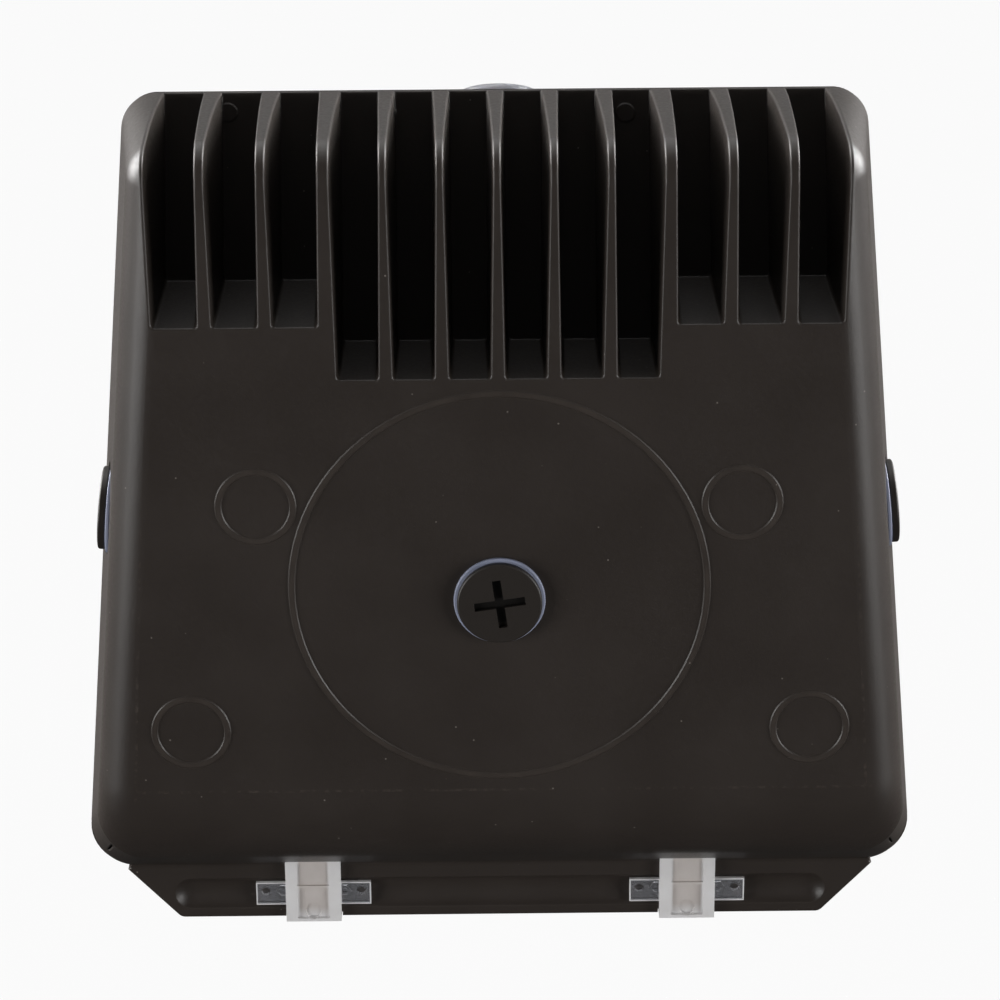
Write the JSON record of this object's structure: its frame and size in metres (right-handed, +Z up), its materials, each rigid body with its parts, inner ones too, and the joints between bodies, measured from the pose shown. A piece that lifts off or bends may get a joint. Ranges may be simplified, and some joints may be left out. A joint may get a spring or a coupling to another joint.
{
  "type": "wall pack light",
  "caption": "Outdoor wall light: a cast box with cooling slots and a junction box face on the back, and a hooded, lensed door hinged at its foot.",
  "frame": {"origin": "centre of the junction box ring on the back, on the wall plane", "axes": "+Z up, +Y into the wall, +X to the right of someone who faces the front of the light"},
  "size_m": [0.2446, 0.1121, 0.2571],
  "materials": {
    "bronze_paint": "fine textured powder coat, dark bronze",
    "plug_plastic": "moulded nylon",
    "washer_rubber": "smooth silicone",
    "clip_plastic": "translucent moulded polycarbonate",
    "board_white": "white solder resist over aluminium",
    "led_phosphor": "yellow phosphor over a white package",
    "optic_clear": "clear moulded acrylic",
    "zinc_steel": "zinc plated",
    "driver_case": "light grey coated steel",
    "driver_board": "green fibreglass board",
    "component_dark": "moulded cases",
    "terminal_plastic": "ivory nylon",
    "ground_brass": "green dyed steel",
    "tray_white": "gloss white enamel",
    "seal_rubber": "closed cell silicone",
    "lens_clear": "clear polycarbonate, lightly frosted inside",
    "screw_steel": "stainless",
    "photocell_black": "moulded nylon",
    "photocell_white": "milky translucent",
    "sensor_face": "lacquered cell",
    "pin_steel": "bright drawn steel"
  },
  "bodies": {
    "housing": {"back_housing": "bronze_paint", "rear_entry_plug": "plug_plastic", "left_entry_plug": "plug_plastic", "right_entry_plug": "plug_plastic", "rear_entry_washer": "washer_rubber", "left_entry_washer": "washer_rubber", "right_entry_washer": "washer_rubber", "hinge_clip_left": "clip_plastic", "hinge_clip_right": "clip_plastic", "led_board": "board_white", "led_chips": "led_phosphor", "led_optic": "optic_clear", "led_board_screws": "zinc_steel", "driver_base": "zinc_steel", "driver_cover": "driver_case", "driver_board": "driver_board", "driver_standoffs": "zinc_steel", "driver_components": "component_dark", "driver_screws": "zinc_steel", "terminal_block": "terminal_plastic", "terminal_screws": "zinc_steel", "terminal_fixings": "zinc_steel", "ground_screw": "ground_brass", "reflector_tray": "tray_white", "tray_screws": "zinc_steel"},
    "door": {"door_frame": "bronze_paint", "rim_seal": "seal_rubber", "lens": "lens_clear", "lens_seal": "seal_rubber", "lens_clips": "zinc_steel", "lens_clip_screws": "zinc_steel", "door_screw_left": "screw_steel", "door_screw_right": "screw_steel", "photocell_body": "photocell_black", "photocell_seal": "seal_rubber", "photocell_cap": "photocell_white", "photocell_sensor": "sensor_face", "photocell_nut": "photocell_black", "hinge_pin_left": "pin_steel", "hinge_pin_right": "pin_steel"}
  },
  "joints": [
    {"name": "door_hinge", "type": "hinge", "parent": "housing", "child": "door", "pos_m": [0, -0.0674, -0.1285], "axis": [1, 0, 0], "range_deg": [0, 165]}
  ]
}
